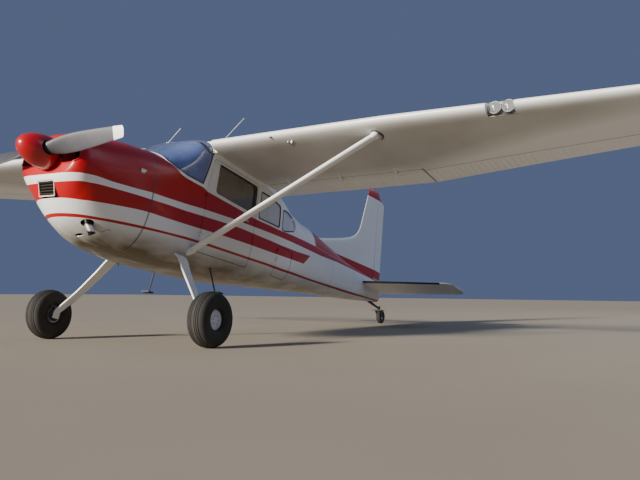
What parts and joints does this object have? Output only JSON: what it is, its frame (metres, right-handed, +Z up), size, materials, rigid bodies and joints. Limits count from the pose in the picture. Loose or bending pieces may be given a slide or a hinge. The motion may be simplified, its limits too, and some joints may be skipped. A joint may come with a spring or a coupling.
{
  "type": "light aircraft",
  "caption": "High-wing, strut-braced light aircraft on sprung leaf main legs and a steerable tailwheel, with opening doors, flaps and hinged control surfaces.",
  "frame": {"origin": "on the ground under the middle of the outer box, standing on the three tyres", "axes": "+X to the left wing tip, +Y towards the tail, +Z up; the fuselage datum is pitched 11.93 degrees nose-up"},
  "size_m": [10.92, 7.8976, 2.7473],
  "materials": {
    "white_paint": "gloss white enamel with red trim bands",
    "red_paint": "gloss red enamel",
    "blade_paint": "satin grey, white tips",
    "filter_metal": "bare louvred sheet",
    "exhaust_steel": "heat-stained",
    "engine_metal": "dull grey",
    "clear_panel": "clear acrylic",
    "dark_plastic": "black crackle",
    "seat_cloth": "woven",
    "lamp_metal": "polished reflector",
    "tyre_rubber": "worn black",
    "wheel_metal": "painted silver-grey",
    "spring_steel": "satin dark",
    "whip_steel": "plain"
  },
  "bodies": {
    "airframe": {"nose_bowl": "red_paint", "cowl_upper": "red_paint", "cowl_lower": "white_paint", "cabin": "white_paint", "tailcone": "white_paint", "stabilizer": "white_paint", "fin": "white_paint", "wing_left": "white_paint", "wing_right": "white_paint", "strut_left": "white_paint", "strut_right": "white_paint", "gear_leg_left": "white_paint", "gear_leg_right": "white_paint", "step_left": "white_paint", "step_right": "white_paint", "intake_filter": "filter_metal", "exhaust": "exhaust_steel", "engine_block": "engine_metal", "mid_window_left": "clear_panel", "mid_window_right": "clear_panel", "aft_window_left": "clear_panel", "aft_window_right": "clear_panel", "windscreen": "clear_panel", "lamp_cover": "clear_panel", "instrument_panel": "dark_plastic", "front_seat_left": "seat_cloth", "front_seat_right": "seat_cloth", "rear_seat": "seat_cloth", "landing_lamps": "lamp_metal", "tail_spring": "spring_steel", "antenna_front": "whip_steel", "antenna_rear": "whip_steel", "pitot_tube": "whip_steel"},
    "propeller_group": {"propeller": "blade_paint", "spinner": "red_paint"},
    "main_wheel_left": {"tyre_left": "tyre_rubber", "wheel_left": "wheel_metal"},
    "main_wheel_right": {"tyre_right": "tyre_rubber", "wheel_right": "wheel_metal"},
    "tail_fork_group": {"tailwheel_fork": "spring_steel"},
    "tail_wheel": {"tailwheel_hub": "wheel_metal", "tailwheel_tyre": "tyre_rubber"},
    "door_left_group": {"door_left": "white_paint", "door_window_left": "clear_panel"},
    "door_right_group": {"door_right": "white_paint", "door_window_right": "clear_panel"},
    "baggage_door_group": {"baggage_door": "white_paint"},
    "rudder_group": {"rudder": "white_paint"},
    "elevator_group": {"elevators": "white_paint"},
    "aileron_left_group": {"aileron_left": "white_paint"},
    "aileron_right_group": {"aileron_right": "white_paint"},
    "flap_left_group": {"flap_left": "white_paint"},
    "flap_right_group": {"flap_right": "white_paint"}
  },
  "joints": [
    {"name": "propeller_spin", "type": "hinge", "parent": "airframe", "child": "propeller_group", "pos_m": [0, -3.71303, 1.83716], "axis": [0, 0.9784, -0.2067], "continuous": true},
    {"name": "wheel_left_spin", "type": "hinge", "parent": "airframe", "child": "main_wheel_left", "pos_m": [1.135, -2.56946, 0.274], "axis": [1, 0, 0], "continuous": true},
    {"name": "wheel_right_spin", "type": "hinge", "parent": "airframe", "child": "main_wheel_right", "pos_m": [-1.135, -2.56946, 0.274], "axis": [1, 0, 0], "continuous": true},
    {"name": "tailwheel_steer", "type": "hinge", "parent": "airframe", "child": "tail_fork_group", "pos_m": [0, 3.73629, 0.24282], "axis": [0, 0.2067, 0.9784], "range_deg": [-24, 24]},
    {"name": "tailwheel_spin", "type": "hinge", "parent": "tail_fork_group", "child": "tail_wheel", "pos_m": [0, 3.81766, 0.12], "axis": [1, 0, 0], "continuous": true},
    {"name": "door_left_swing", "type": "hinge", "parent": "airframe", "child": "door_left_group", "pos_m": [0.544, -1.94705, 1.4252], "axis": [0, -0.2067, -0.9784], "range_deg": [0, 72]},
    {"name": "door_right_swing", "type": "hinge", "parent": "airframe", "child": "door_right_group", "pos_m": [-0.544, -1.94705, 1.4252], "axis": [0, 0.2067, 0.9784], "range_deg": [0, 72]},
    {"name": "baggage_door_swing", "type": "hinge", "parent": "airframe", "child": "baggage_door_group", "pos_m": [0.526, -0.41976, 1.10252], "axis": [0, -0.2067, -0.9784], "range_deg": [0, 90]},
    {"name": "rudder_swing", "type": "hinge", "parent": "airframe", "child": "rudder_group", "pos_m": [0, 3.44686, 0.82728], "axis": [0, 0.1534, 0.9882], "range_deg": [-24, 24]},
    {"name": "elevator_swing", "type": "hinge", "parent": "airframe", "child": "elevator_group", "pos_m": [0, 3.43568, 0.60989], "axis": [1, 0, 0], "range_deg": [-23, 25]},
    {"name": "aileron_left_swing", "type": "hinge", "parent": "airframe", "child": "aileron_left_group", "pos_m": [2.608, -0.66105, 1.96509], "axis": [0.9951, -0.077, 0.062], "range_deg": [-14, 20]},
    {"name": "aileron_right_swing", "type": "hinge", "parent": "airframe", "child": "aileron_right_group", "pos_m": [-2.608, -0.66105, 1.96509], "axis": [0.9951, 0.077, -0.062], "range_deg": [-14, 20]},
    {"name": "flap_left_swing", "type": "hinge", "parent": "airframe", "child": "flap_left_group", "pos_m": [0.9, -0.72901, 1.83676], "axis": [-0.9997, -0.0051, -0.0239], "range_deg": [0, 40]},
    {"name": "flap_right_swing", "type": "hinge", "parent": "airframe", "child": "flap_right_group", "pos_m": [-0.9, -0.72901, 1.83676], "axis": [-0.9997, 0.0051, 0.0239], "range_deg": [0, 40]}
  ],
  "couplings": [
    {"joint": "flap_right_swing", "follows": "flap_left_swing", "ratio": 1}
  ]
}
